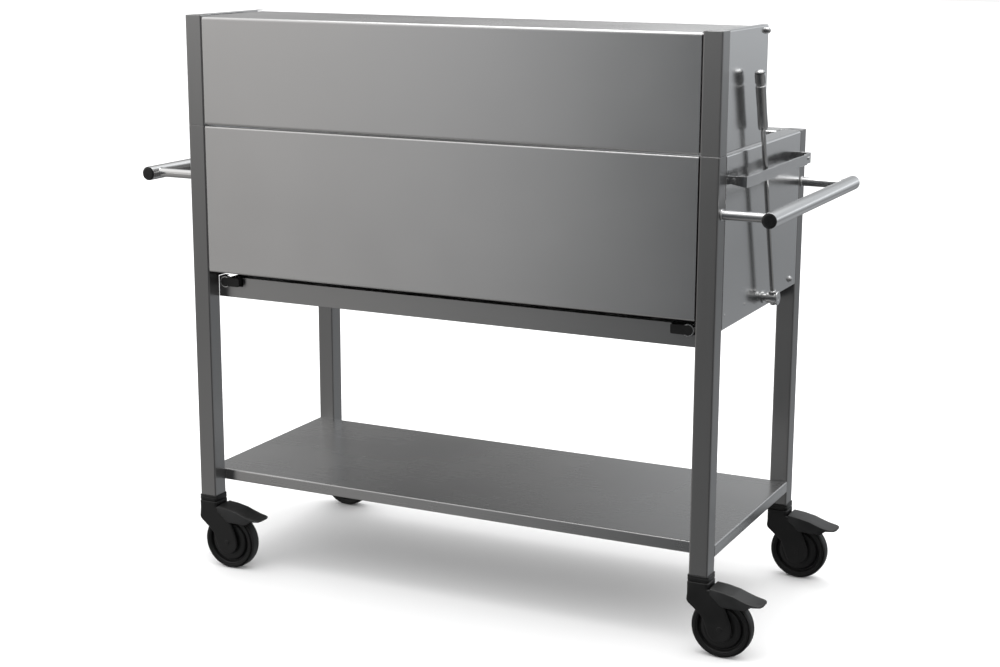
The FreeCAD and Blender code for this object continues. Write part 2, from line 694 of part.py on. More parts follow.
def drawer_stop(side):
    """Moulded stop in the beam's notch, and the pale ring round its disc."""
    outer_y = -INNER_Y - STOP_PROUD
    axis = V(side * STOP_RING_X, outer_y, STOP_Z)
    block_ends = sorted([side * STOP_BLOCK_X, side * (STOP_RING_X - STOP_BLOCK_LAP)])
    block = rounded_box((block_ends[0], outer_y, STOP_Z - STOP_BLOCK_LOW),
                        (block_ends[1], outer_y + STOP_BLOCK_DEPTH, STOP_Z + STOP_BLOCK_HIGH), Y, STOP_CORNER)
    disc = rod(axis, axis + Y * STOP_DISC_LENGTH, STOP_DISC_R)
    bore = rod(axis, axis + Y * STOP_BLOCK_DEPTH, STOP_DISC_R)
    ring = rod(axis + Y, axis + Y * (1 + STOP_RING_LENGTH), STOP_RING_R).cut(bore)
    return block.fuse(disc).cut(ring).removeSplitter(), ring


def make_drawer():
    pan = box(-DRAWER_HALF_L, DRAWER_HALF_L, DRAWER_BACK_Y, INNER_Y, DRAWER_BOTTOM, DRAWER_TOP)
    pan = pan.cut(box(-DRAWER_HALF_L + SHEET, DRAWER_HALF_L - SHEET, DRAWER_BACK_Y + SHEET, INNER_Y - SHEET,
                      DRAWER_BOTTOM + SHEET, DRAWER_TOP + PAST))
    save("ash_drawer", pan)
    save("ash_drawer_front", drawer_front())

    runners = []
    blocks = []
    rings = []
    for side in ENDS.values():
        runners.append(drawer_runner(side))
        block, ring = drawer_stop(side)
        blocks.append(block)
        rings.append(ring)
    save("drawer_runners", group(runners))
    save("drawer_stops", group(blocks))
    save("drawer_stop_rings", group(rings))


# Handles -----------------------------------------------------------------------------------------

def make_handles():
    bars = []
    caps = []
    arms = []
    for side in ENDS.values():
        start = V(side * HANDLE_X, -HANDLE_HALF, HANDLE_Z)
        end = V(side * HANDLE_X, HANDLE_HALF, HANDLE_Z)
        solid_bar = rod(start, end, HANDLE_R)
        bars.append(solid_bar.cut(rod(start, end, HANDLE_R - HANDLE_WALL)))
        for y_side in (-1, 1):
            foot = V(side * HALF_L, y_side * POST_Y, HANDLE_Z)
            arms.append(rod(foot, V(side * HANDLE_X, y_side * POST_Y, HANDLE_Z), HANDLE_ARM_R).cut(solid_bar))
            mouth = V(side * HANDLE_X, y_side * HANDLE_HALF, HANDLE_Z)
            plug = rod(mouth, mouth - Y * y_side * CAP_PLUG, HANDLE_R - HANDLE_WALL)
            head = rod(mouth, mouth + Y * y_side * CAP_PROUD, HANDLE_R)
            caps.append(plug.fuse(head).removeSplitter())
    save("handle_bars", group(bars))
    save("handle_arms", group(arms))
    save("handle_caps", group(caps))


# Casters -----------------------------------------------------------------------------------------

def caster_stem(cx, cy):
    """Fixed part of a caster: plug in the post, square collar and swivel pin."""
    half = COLLAR / 2
    bore = TUBE / 2 - TUBE_WALL
    collar = rounded_box((cx - half, cy - half, COLLAR_Z), (cx + half, cy + half, POST_BOTTOM), Z, COLLAR_ROUND)
    plug = box(cx - bore, cx + bore, cy - bore, cy + bore, POST_BOTTOM, POST_BOTTOM + STEM_PLUG)
    pin = rod(V(cx, cy, COLLAR_Z - STEM_LENGTH), V(cx, cy, COLLAR_Z), STEM_R)
    return collar.fuse([plug, pin]).removeSplitter()


def caster_fork(cx, cy):
    """Swivelling housing with two legs that cover the wheel's hub."""
    axle = V(cx + WHEEL_TRAIL, cy, WHEEL_R)
    pivot = V(cx + PEDAL_PIVOT_X, cy, PEDAL_PIVOT_Z)
    legs = []
    for side in (-1, 1):
        face = Y * side * FORK_INNER
        wall = Y * side * FORK_WALL
        pin = Y * side * (FORK_WALL + PEDAL_PIN_PROUD)
        legs.append(prism([V(cx + x, cy, z) + face for x, z in FORK_LEG], wall))
        legs.append(rod(axle + face, axle + face + wall, FORK_LEG_R))
        legs.append(rod(pivot + face, pivot + face + wall, FORK_EAR_R))
        legs.append(rod(pivot + face, pivot + face + pin, PEDAL_PIN_R))
    fork = rod(V(cx, cy, FORK_SKIRT), V(cx, cy, FORK_TOP), HOUSING_R).fuse(legs)
    fork = fork.cut(rod(axle - Y * FORK_INNER, axle + Y * FORK_INNER, FORK_CLEAR_R))
    fork = fork.cut(rod(axle - Y * HOUSING_R, axle + Y * HOUSING_R, AXLE_R))
    stem_hole = rod(V(cx, cy, COLLAR_Z - STEM_LENGTH - 1), V(cx, cy, FORK_TOP + 1), STEM_R + AXLE_RUNNING)
    return fork.cut(stem_hole).removeSplitter()


def caster_pedal(cx, cy):
    """Brake pedal: a broad curved plate with a lug down each side to its pivot."""
    half = PEDAL_HALF_WIDTH
    outline = [V(cx + x, cy - half, z) for x, z in PEDAL_TOP + PEDAL_TIP + PEDAL_UNDER]
    plate = prism(outline, Y * 2 * half)
    pivot = V(cx + PEDAL_PIVOT_X, cy, PEDAL_PIVOT_Z)
    lug_inner = FORK_INNER + FORK_WALL + PEDAL_LUG_GAP
    for side in (-1, 1):
        inner = Y * side * lug_inner
        wall = Y * side * (half - lug_inner)
        lug = rod(pivot + inner, pivot + inner + wall, PEDAL_LUG_R)
        web = prism([V(cx + x, cy, z) + inner for x, z in PEDAL_WEB], wall)
        plate = plate.fuse([lug, web])
    plate = plate.cut(rod(pivot - Y * half * 2, pivot + Y * half * 2, PEDAL_PIN_R + AXLE_RUNNING))
    housing = rod(V(cx, cy, FORK_SKIRT), V(cx, cy, POST_BOTTOM), HOUSING_R + PEDAL_HOUSING_GAP)
    return plate.cut(housing).removeSplitter()


def caster_wheel(axle):
    """Moulded wheel: rim, web and hub in one piece."""
    rim_half = Y * (WHEEL_WIDTH / 2 - RIM_INSET)
    rim = rod(axle - rim_half, axle + rim_half, TYRE_INNER_R)
    for side in (-1, 1):
        rim = rim.cut(rod(axle + Y * side * RIM_WEB, axle + Y * side * WHEEL_WIDTH, WHEEL_RIM_R))
    hub_half = Y * HUB_WIDTH / 2
    wheel = rim.fuse(rod(axle - hub_half, axle + hub_half, HUB_R))
    return wheel.cut(rod(axle - Y * HUB_WIDTH, axle + Y * HUB_WIDTH, AXLE_R + AXLE_RUNNING)).removeSplitter()


def caster_tyre(axle):
    """Rubber tread ring."""
    half = Y * WHEEL_WIDTH / 2
    tyre = rod(axle - half, axle + half, WHEEL_R)
    rims = [edge for edge in tyre.Edges if edge.Closed]
    return tyre.makeFillet(TYRE_ROUND, rims).cut(rod(axle - half * 2, axle + half * 2, TYRE_INNER_R))


def make_casters():
    stems = []
    outer = Y * (FORK_INNER + FORK_WALL)
    for name, (side_x, side_y) in CORNERS.items():
        cx = side_x * POST_X
        cy = side_y * POST_Y
        axle = V(cx + WHEEL_TRAIL, cy, WHEEL_R)
        stems.append(caster_stem(cx, cy))
        save("caster_fork_" + name, caster_fork(cx, cy))
        save("caster_pedal_" + name, caster_pedal(cx, cy))
        save("caster_axle_" + name, rod(axle - outer, axle + outer, AXLE_R))
        save("caster_tyre_" + name, caster_tyre(axle))
        save("caster_wheel_" + name, caster_wheel(axle))
    save("caster_stems", group(stems))


os.makedirs("parts", exist_ok=True)
make_frame()
make_panels()
make_hood()
make_firebox()
make_lever()
make_rack()
make_drawer()
make_handles()
make_casters()
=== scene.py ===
"""Looks of the charcoal grill cart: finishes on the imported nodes, and detailed pieces for its small parts.

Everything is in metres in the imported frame: +X is the lever end, +Y the cook's side, -Y the tall closed back.
"""
import bpy
import bmesh
import json
import math
from mathutils import Matrix, Vector


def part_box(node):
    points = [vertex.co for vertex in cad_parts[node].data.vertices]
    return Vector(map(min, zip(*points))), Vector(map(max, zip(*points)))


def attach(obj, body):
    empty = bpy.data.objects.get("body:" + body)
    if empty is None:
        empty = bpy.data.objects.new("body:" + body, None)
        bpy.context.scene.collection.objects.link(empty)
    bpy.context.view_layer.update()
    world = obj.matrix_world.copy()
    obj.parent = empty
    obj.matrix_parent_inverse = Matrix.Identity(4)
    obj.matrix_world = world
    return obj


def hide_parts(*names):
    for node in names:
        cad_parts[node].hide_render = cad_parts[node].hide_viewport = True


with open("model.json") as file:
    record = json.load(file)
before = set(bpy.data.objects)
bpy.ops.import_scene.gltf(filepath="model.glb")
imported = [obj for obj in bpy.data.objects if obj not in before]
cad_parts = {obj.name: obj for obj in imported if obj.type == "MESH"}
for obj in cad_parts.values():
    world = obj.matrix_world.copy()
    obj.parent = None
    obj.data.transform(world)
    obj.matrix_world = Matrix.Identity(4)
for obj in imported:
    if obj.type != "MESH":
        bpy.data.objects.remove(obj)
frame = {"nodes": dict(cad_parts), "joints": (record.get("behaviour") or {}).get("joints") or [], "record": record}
NODES = frame["nodes"]
JOINTS = {joint["name"]: joint for joint in frame["joints"]}
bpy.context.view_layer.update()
CORNERS = ("rear_left", "rear_right", "front_left", "front_right")
ENDS = {"left": -1, "right": 1}
X, Y, Z = Vector((1, 0, 0)), Vector((0, 1, 0)), Vector((0, 0, 1))
MM = 0.001

# From a caster's swivel axis back to its axle, and the tyre's radius, in millimetres
WHEEL_TRAIL, WHEEL_R = 48.0, 62.5
# How far the lever leans towards the tall back when the cart is at rest, in degrees
LEVER_LEAN = 16.0

# Camera: lens and sensor in millimetres, position in metres, angles in degrees
LENS_MM, SENSOR_MM = 66.27, 36.0
CAMERA_AT = Vector((1.7334, -3.52938, 1.42881))
CAMERA_YAW, CAMERA_PITCH, CAMERA_ROLL = 26.02, 12.73, 0.2


# Stage -------------------------------------------------------------------------------------------

def make_camera():
    """Camera at the photo's angle, turned left from +Y, tipped down and rolled slightly."""
    yaw, pitch, roll = (math.radians(a) for a in (CAMERA_YAW, CAMERA_PITCH, CAMERA_ROLL))
    ahead = Vector((-math.sin(yaw) * math.cos(pitch), math.cos(yaw) * math.cos(pitch), -math.sin(pitch)))
    level = ahead.cross(Z).normalized()
    above = level.cross(ahead)
    right = level * math.cos(roll) + above * math.sin(roll)
    up = above * math.cos(roll) - level * math.sin(roll)
    data = bpy.data.cameras.new("camera")
    data.lens = LENS_MM
    data.sensor_width = SENSOR_MM
    data.clip_start = 0.05
    data.clip_end = 200.0
    camera = bpy.data.objects.new("camera", data)
    camera.matrix_world = Matrix.Translation(CAMERA_AT) @ Matrix((right, up, -ahead)).transposed().to_4x4()
    bpy.context.scene.collection.objects.link(camera)
    bpy.context.scene.camera = camera


class Graph:
    """Shader nodes of a material or a world. An input is a socket to link, or a value to set."""

    def __init__(self, tree):
        self.tree = tree

    def add(self, kind, settings=None, **inputs):
        node = self.tree.nodes.new("ShaderNode" + kind)
        for key, value in (settings or {}).items():
            setattr(node, key, value)
        self.feed(node, **inputs)
        return node

    def feed(self, node, **inputs):
        for key, value in inputs.items():
            name = key.replace("_", " ")
            socket = node.inputs[int(key[1:])] if key[0] == "i" and key[1:].isdigit() else node.inputs[name]
            if isinstance(value, bpy.types.NodeSocket):
                self.tree.links.new(value, socket)
            else:
                socket.default_value = value

    def math(self, operation, a, b=0.0, clamp=False):
        return self.add("Math", {"operation": operation, "use_clamp": clamp}, i0=a, i1=b).outputs[0]

    def ramp(self, value, stops, mode="LINEAR"):
        node = self.add("ValToRGB", None, Fac=value)
        node.color_ramp.interpolation = mode
        points = node.color_ramp.elements
        while len(points) < len(stops):
            points.new(0.5)
        for point, (position, colour) in zip(points, stops):
            point.position = position
            point.color = (*colour, 1)
        return node.outputs["Color"]

    def span(self, value, low, high, to_low, to_high):
        return self.add("MapRange", None, Value=value, From_Min=low, From_Max=high, To_Min=to_low,
                        To_Max=to_high).outputs["Result"]


def grey(value, warm=0.0):
    """Neutral tone, slightly warmer or cooler."""
    return (value * (1 + warm), value, value * (1 - warm))


# The room's tone by azimuth, in degrees from +X towards +Y, then by the sine of the elevation, and what the
# ceiling adds by the sine of the elevation
WALL_TONES = [(-180, grey(0.66, 0.02)), (-140, grey(0.70, 0.02)), (-124, grey(0.76, 0.02)), (-118, grey(0.70)),
              (-114, grey(0.53, -0.01)), (-109, grey(0.09, -0.08)), (-80, grey(0.08, -0.05)), (-45, grey(0.22)),
              (0, grey(0.45)), (45, grey(0.46, -0.03)), (70, grey(0.78, -0.03)), (82, grey(0.78, -0.03)),
              (103, grey(0.46, -0.02)), (110, grey(0.40, -0.02)), (114.5, grey(0.22)), (119, grey(0.12)),
              (124, grey(0.30)), (135, grey(0.30)), (155, grey(0.75)), (180, grey(0.62))]
HEIGHT_TONES = [(-1.0, grey(0.30)), (-0.42, grey(0.55)), (-0.28, grey(0.53)), (-0.17, grey(0.37)),
                (-0.05, grey(0.76)), (0.0, grey(0.95)), (0.06, grey(1.8)), (0.15, grey(0.9)), (1.0, grey(1.0))]
CEILING_TONES = [(-1.0, grey(0.0)), (0.30, grey(0.0)), (0.65, grey(0.50)), (1.0, grey(0.70))]
# Strength of the dome that diffuse rays see, and the tone that the camera sees behind the cart
SKY_ON_FLOOR = 1.6
BACKDROP = 0.93


def make_world():
    """Soft room for reflections, an even dome for the diffuse light, and a white backdrop for the camera."""
    world = bpy.data.worlds.new("studio")
    world.use_nodes = True
    graph = Graph(world.node_tree)
    tree = world.node_tree
    direction = graph.add("TexCoord").outputs["Generated"]
    split = graph.add("SeparateXYZ", None, Vector=direction)
    turn = graph.math("ARCTAN2", split.outputs["Y"], split.outputs["X"])
    around = graph.span(turn, -math.pi, math.pi, 0.0, 1.0)
    wall = graph.ramp(around, [(degrees / 360 + 0.5, tone) for degrees, tone in WALL_TONES], "EASE")
    rise = graph.span(split.outputs["Z"], -1.0, 1.0, 0.0, 1.0)
    height = graph.ramp(rise, [((sine + 1) / 2, tone) for sine, tone in HEIGHT_TONES], "EASE")
    lift = graph.ramp(rise, [((sine + 1) / 2, tone) for sine, tone in CEILING_TONES], "EASE")
    shaded = graph.add("MixRGB", {"blend_type": "MULTIPLY"}, Fac=1.0, Color1=wall, Color2=height)
    room = graph.add("MixRGB", {"blend_type": "ADD"}, Fac=1.0, Color1=shaded.outputs[0], Color2=lift)
    unseen = graph.add("Background", None, Color=room.outputs[0], Strength=1.0)
    seen = graph.add("Background", None, Color=(*grey(BACKDROP), 1), Strength=1.0)
    ray = graph.add("LightPath")
    dome = graph.add("Background", None, Color=(1, 1, 1, 1), Strength=SKY_ON_FLOOR)
    lit = graph.add("MixShader", None, i0=ray.outputs["Is Diffuse Ray"], i1=unseen.outputs[0], i2=dome.outputs[0])
    mix = graph.add("MixShader", None, i0=ray.outputs["Is Camera Ray"], i1=lit.outputs[0], i2=seen.outputs[0])
    graph.feed(tree.nodes["World Output"], Surface=mix.outputs[0])
    bpy.context.scene.world = world


# Half the floor's width in metres, and its tone
FLOOR_HALF = 30.0
FLOOR_TONE = 0.9


def make_floor():
    """Pale matt floor that glossy rays pass through."""
    half = FLOOR_HALF
    mesh = bpy.data.meshes.new("floor")
    mesh.from_pydata([(-half, -half, 0), (half, -half, 0), (half, half, 0), (-half, half, 0)], [], [(0, 1, 2, 3)])
    floor = bpy.data.objects.new("floor", mesh)
    bpy.context.scene.collection.objects.link(floor)
    material = bpy.data.materials.new("pale_floor")
    material.use_nodes = True
    graph = Graph(material.node_tree)
    graph.feed(material.node_tree.nodes["Principled BSDF"], Base_Color=(*grey(FLOOR_TONE), 1),
               Roughness=0.9, Specular_IOR_Level=0.1)
    mesh.materials.append(material)
    floor.visible_glossy = False


def make_light(name, at, aim, size_x, size_y, power):
    """Area light in metres and watts, turned towards a point."""
    data = bpy.data.lights.new(name, "AREA")
    data.shape = "RECTANGLE"
    data.size = size_x
    data.size_y = size_y
    data.energy = power
    light = bpy.data.objects.new(name, data)
    light.location = at
    light.rotation_euler = (Vector(aim) - Vector(at)).to_track_quat("-Z", "Y").to_euler()
    bpy.context.scene.collection.objects.link(light)


# Finishes ----------------------------------------------------------------------------------------

# How often the brushing, its broader streaks and the clouding repeat, per metre
GRAIN_ALONG, GRAIN_FINE, GRAIN_BROAD, CLOUD = 4.0, 2600.0, 420.0, 4.0
# Shares of the fine and the broad streaks
FINE_SHARE, BROAD_SHARE = 0.6, 0.4
# How often the plastic's pits and clouding repeat, per metre
PITS, PLASTIC_CLOUD = 1400.0, 28.0
# Rounding of the edges and depth of the surface relief, in metres
STEEL_EDGE, PLASTIC_EDGE, RELIEF = 0.0012, 0.0015, 0.00005
# Cosine between the rounded and the flat normal, from a face to the crest of an edge
FACE_COSINE, CREST_COSINE = 0.99, 0.80
# How far worn crests lighten, and how much smoother they are on steel
STEEL_WEAR, PLASTIC_WEAR, CREST_POLISH = 0.4, 0.25, 0.05
# Strength of the relief, and the most dust on an upward face with its colour
STEEL_BUMP, PLASTIC_BUMP = 0.06, 0.3
DUST, DUST_TONE = 0.05, (0.30, 0.29, 0.27, 1)


def new_material(name):
    """Material, its graph and its surface shader."""
    material = bpy.data.materials.new(name)
    material.use_nodes = True
    return material, Graph(material.node_tree), material.node_tree.nodes["Principled BSDF"]


def stretched_noise(graph, coords, scale, detail=2.0):
    """Noise that repeats scale times per metre along each axis."""
    placed = graph.add("Mapping", None, Vector=coords, Scale=scale)
    return graph.add("TexNoise", None, Vector=placed.outputs[0], Scale=1.0, Detail=detail,
                     Roughness=0.55).outputs["Fac"]


def edge_mask(graph, radius):
    """1 on the crest of an edge and 0 on flat faces, and the normal of the rounded edge."""
    rounded_edge = graph.add("Bevel", {"samples": 4}, Radius=radius).outputs[0]
    flat = graph.add("NewGeometry").outputs["Normal"]
    cosine = graph.add("VectorMath", {"operation": "DOT_PRODUCT"}, i0=rounded_edge, i1=flat).outputs["Value"]
    return graph.span(cosine, FACE_COSINE, CREST_COSINE, 0.0, 1.0), rounded_edge


def brushed_steel(name, grain, tone, rough, stretch, tint=0.0):
    """Stainless steel brushed along one axis: fine streaks, faint clouding and polished crests on its edges."""
    material, graph, shader = new_material(name)
    coords = graph.add("TexCoord").outputs["Object"]
    fine_scale = [GRAIN_ALONG if axis == grain else GRAIN_FINE for axis in "XYZ"]
    broad_scale = [GRAIN_ALONG / 2 if axis == grain else GRAIN_BROAD for axis in "XYZ"]
    fine = stretched_noise(graph, coords, fine_scale, 3.0)
    broad = stretched_noise(graph, coords, broad_scale)
    cloud = stretched_noise(graph, coords, (CLOUD, CLOUD, CLOUD), 3.0)
    streak = graph.math("ADD", graph.math("MULTIPLY", fine, FINE_SHARE), graph.math("MULTIPLY", broad, BROAD_SHARE))
    edge, edge_normal = edge_mask(graph, STEEL_EDGE)
    colour = graph.ramp(streak, [(0.25, grey(tone * 0.985, tint)), (0.75, grey(tone * 1.01, tint))])
    patches = graph.ramp(cloud, [(0.3, grey(0.975)), (0.7, grey(1.0))])
    patched = graph.add("MixRGB", {"blend_type": "MULTIPLY"}, Fac=1.0, Color1=colour, Color2=patches)
    worn = graph.add("MixRGB", None, Fac=graph.math("MULTIPLY", edge, STEEL_WEAR), Color1=patched.outputs[0],
                     Color2=(*grey(min(tone * 1.3, 0.95)), 1))
    roughness = graph.math("ADD", graph.span(streak, 0.3, 0.7, rough * 0.98, rough * 1.03),
                           graph.span(cloud, 0.35, 0.65, -0.01, 0.015))
    polished = graph.math("SUBTRACT", roughness, graph.math("MULTIPLY", edge, CREST_POLISH), True)
    bump = graph.add("Bump", None, Height=streak, Strength=STEEL_BUMP, Distance=RELIEF, Normal=edge_normal)
    graph.feed(shader, Base_Color=worn.outputs[0], Metallic=1.0, Roughness=polished, Normal=bump.outputs[0],
               Anisotropic=stretch)
    if stretch:
        tangent = graph.add("Tangent", {"direction_type": "RADIAL", "axis": grain})
        graph.feed(shader, Tangent=tangent.outputs[0])
    return material


def moulded_plastic(name, tone, rough, tint=-0.03):
    """Black moulded plastic: fine spark-eroded grain, worn edges and a little dust on upward faces."""
    material, graph, shader = new_material(name)
    coords = graph.add("TexCoord").outputs["Object"]
    pits = stretched_noise(graph, coords, (PITS, PITS, PITS), 2.0)
    cloud = stretched_noise(graph, coords, (PLASTIC_CLOUD, PLASTIC_CLOUD, PLASTIC_CLOUD), 4.0)
    edge, edge_normal = edge_mask(graph, PLASTIC_EDGE)
    facing = graph.add("SeparateXYZ", None, Vector=graph.add("NewGeometry").outputs["Normal"]).outputs["Z"]
    dust = graph.math("MULTIPLY", graph.span(facing, 0.2, 1.0, 0.0, DUST), cloud)
    base = graph.ramp(cloud, [(0.3, grey(tone * 0.8, tint)), (0.7, grey(tone * 1.25, tint))])
    worn = graph.add("MixRGB", None, Fac=graph.math("MULTIPLY", edge, PLASTIC_WEAR), Color1=base,
                     Color2=(*grey(tone * 2.6 + 0.01), 1))
    dusty = graph.add("MixRGB", None, Fac=dust, Color1=worn.outputs[0], Color2=DUST_TONE)
    roughness = graph.math("ADD", graph.span(cloud, 0.3, 0.7, rough - 0.05, rough + 0.06),
                           graph.math("MULTIPLY", dust, 1.5), True)
    bump = graph.add("Bump", None, Height=pits, Strength=PLASTIC_BUMP, Distance=RELIEF, Normal=edge_normal)
    graph.feed(shader, Base_Color=dusty.outputs[0], Roughness=roughness, Normal=bump.outputs[0],
               Specular_IOR_Level=0.5)
    return material


# Mesh helpers ------------------------------------------------------------------------------------

# Edges sharper than this stay sharp; the facets round a solid of revolution
CREASE = math.radians(32)
TURNS = 48


def rounded(points, closed=False, steps=5):
    """Outline of (a, b, radius) corners, each turned by a short curve; an open outline keeps its two ends."""
    outline = []
    count = len(points)
    for index, (a, b, radius) in enumerate(points):
        here = Vector((a, b))
        if radius == 0 or (not closed and index in (0, count - 1)):
            outline.append(here)
            continue
        start = here + (Vector(points[index - 1][:2]) - here).normalized() * radius
        end = here + (Vector(points[(index + 1) % count][:2]) - here).normalized() * radius
        for step in range(steps + 1):
            t = step / steps
            outline.append(start * (1 - t) ** 2 + here * 2 * t * (1 - t) + end * t * t)
    return [(point.x, point.y) for point in outline]


def skin(bm, rings, closed=False):
    """Faces between neighbouring rings of vertices; a ring of one vertex is a pole."""
    pairs = list(zip(rings, rings[1:])) + ([(rings[-1], rings[0])] if closed else [])
    for a, b in pairs:
        count = max(len(a), len(b))
        for i in range(count):
            j = (i + 1) % count
            corners = list(dict.fromkeys([a[i % len(a)], a[j % len(a)], b[j % len(b)], b[i % len(b)]]))
            if len(corners) > 2:
                bm.faces.new(corners)


def lathe(bm, profile, start, axis, closed=False, turns=TURNS):
    """Solid of revolution about an axis. The profile is (distance along the axis, radius), in millimetres."""
    axis = axis.normalized()
    side = axis.orthogonal().normalized()
    other = axis.cross(side)
    rings = []
    for along, radius in profile:
        centre = start + axis * along * MM
        if radius < 1e-4:
            rings.append([bm.verts.new(centre)])
            continue
        ring = []
        for turn in range(turns):
            angle = 2 * math.pi * turn / turns
            ring.append(bm.verts.new(centre + (side * math.cos(angle) + other * math.sin(angle)) * radius * MM))
        rings.append(ring)
    skin(bm, rings, closed)


def squared(bm, levels, origin, turns=96):
    """Upright solid of rounded squares. A level is (height, half width, how square), in millimetres."""
    rings = [[bm.verts.new(origin + Z * levels[0][0] * MM)]]
    for height, half, power in levels:
        ring = []
        for turn in range(turns):
            angle = 2 * math.pi * turn / turns
            reach = half / (abs(math.cos(angle)) ** power + abs(math.sin(angle)) ** power) ** (1 / power)
            corner = Vector((reach * math.cos(angle), reach * math.sin(angle), height))
            ring.append(bm.verts.new(origin + corner * MM))
        rings.append(ring)
    rings.append([bm.verts.new(origin + Z * levels[-1][0] * MM)])
    skin(bm, rings)


def tube(bm, points, radius, turns=10):
    """Closed ring of round bead along a loop of points."""
    rings = []
    count = len(points)
    middle = sum(points, Vector()) / count
    for index, point in enumerate(points):
        along = (points[(index + 1) % count] - points[index - 1]).normalized()
        out = (point - middle)
        out = (out - along * out.dot(along)).normalized()
        other = along.cross(out)
        rings.append([bm.verts.new(point + (out * math.cos(2 * math.pi * k / turns)
                                            + other * math.sin(2 * math.pi * k / turns)) * radius)
                      for k in range(turns)])
    skin(bm, rings, closed=True)


def prism(bm, outline, start, thickness):
    """Flat outline of (x, z) in millimetres, in the XZ plane at a point, thickened along Y."""
    rings = []
    for shift in (0.0, thickness):
        rings.append([bm.verts.new(start + Vector((x, shift, z)) * MM) for x, z in outline])
    skin(bm, rings)
    for ring in rings:
        bm.faces.new(ring)


def soften(bm):
    """Smooth shading between the creases."""
    for face in bm.faces:
        face.smooth = True
    for edge in bm.edges:
        edge.smooth = len(edge.link_faces) == 2 and edge.calc_face_angle(0.0) < CREASE


def place(name, bm, finish, body, *stands_for):
    """Object from a bmesh, smooth between its creases, that rides on a body."""
    bmesh.ops.recalc_face_normals(bm, faces=bm.faces)
    soften(bm)
    mesh = bpy.data.meshes.new(name)
    bm.to_mesh(mesh)
    bm.free()
    adopt(name, mesh, finish, body, *stands_for)


def adopt(name, mesh, finish, body, *stands_for):
    """Object from a mesh, with a finish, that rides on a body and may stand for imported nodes."""
    mesh.materials.clear()
    mesh.materials.append(FINISHES[finish])
    piece = bpy.data.objects.new(name, mesh)
    bpy.context.scene.collection.objects.link(piece)
    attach(piece, body)
    if stands_for:
        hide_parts(*stands_for)


def middle(node):
    """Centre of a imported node's box."""
    low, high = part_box(node)
    return (low + high) / 2


# Casters -----------------------------------------------------------------------------------------

# Everything here is in millimetres: x from the swivel axis towards the axle, heights above the floor.
# Leg: x, height, and how far its corner is cut by a curve
LEG = [(-20, 139, 4), (-23, 112, 6), (-6, 98, 8), (11, 84, 10), (19.5, 60, 12), (26, 42, 9), (38, 35, 9),
       (52, 34, 9), (66, 40, 9), (74, 54, 9), (73, 70, 9), (66, 88, 10), (57, 110, 8), (47, 130, 6), (40, 140, 3)]
# Height above the floor, half width across the flats, and how square the section is
HOUSING = [(153.0, 21.5, 9), (152.0, 23.0, 9), (113.0, 23.0, 7), (109.0, 21.5, 6), (98.0, 8.0, 3), (96.0, 4.0, 2)]
COLLAR = [(166.0, 21.6, 9), (165.4, 22.4, 9), (162.4, 22.5, 9), (161.9, 22.1, 9), (161.1, 22.1, 9),
          (160.6, 22.5, 9), (155.0, 22.5, 9), (154.0, 22.0, 9)]
# Pedal: x with the height of its top, the height of its skirt's edge, and its half width
PEDAL_LINE = [(27, 145.0), (50, 142.5), (75, 137.5), (90, 132.0), (105, 127.2), (118, 124.6), (128, 123.6),
              (133, 123.8)]
PEDAL_SKIRT = [(27, 132), (38, 124), (50, 113), (58, 111), (100, 111), (106, 115), (112, 120.0), (133, 120.6)]
PEDAL_WIDTH = [(27, 26.0), (45, 27.0), (100, 27.0), (118, 26.0), (126, 24.0), (130, 20.5), (132, 16.0), (133, 12.0)]
# Half the gap between the pedal's skirts, its plate's thickness, its crown, and its cross-sections
PEDAL_INSIDE = 23.5
PEDAL_PLATE = 4.0
PEDAL_CROWN = 0.9
PEDAL_STEPS = 36
# Outer faces and thickness of the legs, and the wheel's well between them
LEG_OUTER, LEG_THICK = 23.0, 6.0
WELL_R, WELL_HALF = 65.5, 18.0
# Hole for the collar's pin in the fork, and the pin as (height, radius, curve)
HOLE_LOW, HOLE_HIGH, HOLE_R = 141.0, 157.0, 5.6
PIN = [(143.5, 0, 0), (143.5, 5.4, 0.8), (154.5, 5.4, 0), (154.5, 0, 0)]
# Grain of the fork's moulded blank, how far its joins are blended, and the share of faces kept
VOXEL, BLEND_FACTOR, BLEND_PASSES, KEPT_FACES = 1.1, 0.6, 6, 0.35
# Sections of the turned pieces: distance along the axle, radius, curve
AXLE = [(-23.8, 0, 0), (-23.8, 5.6, 0.8), (-22.0, 5.6, 0), (-22.0, 4.9, 0), (22.0, 4.9, 0), (22.0, 5.6, 0),
        (23.8, 5.6, 0.8), (23.8, 0, 0)]
TYRE = [(-16, 52.2, 0.6), (-16, 58.5, 2.5), (-11.5, 62.5, 5.0), (0, 62.5, 0), (11.5, 62.5, 5.0), (16, 58.5, 2.5),
        (16, 52.2, 0.6)]
WHEEL_FACE = [(15.0, 52.0, 0.5), (15.0, 50.0, 1.0), (13.0, 48.5, 0.8), (6.5, 47.0, 1.5), (6.5, 43.5, 1.5),
              (13.0, 41.5, 1.5), (13.8, 34.0, 3.0), (13.0, 19.0, 2.0), (16.6, 15.0, 1.0), (16.6, 5.2, 0.3)]


def between(line, x):
    """Value along a list of (x, value), straight between its points."""
    for (x0, a), (x1, b) in zip(line, line[1:]):
        if x <= x1:
            t = max(0.0, (x - x0) / (x1 - x0))
            return a + (b - a) * t
    return line[-1][1]


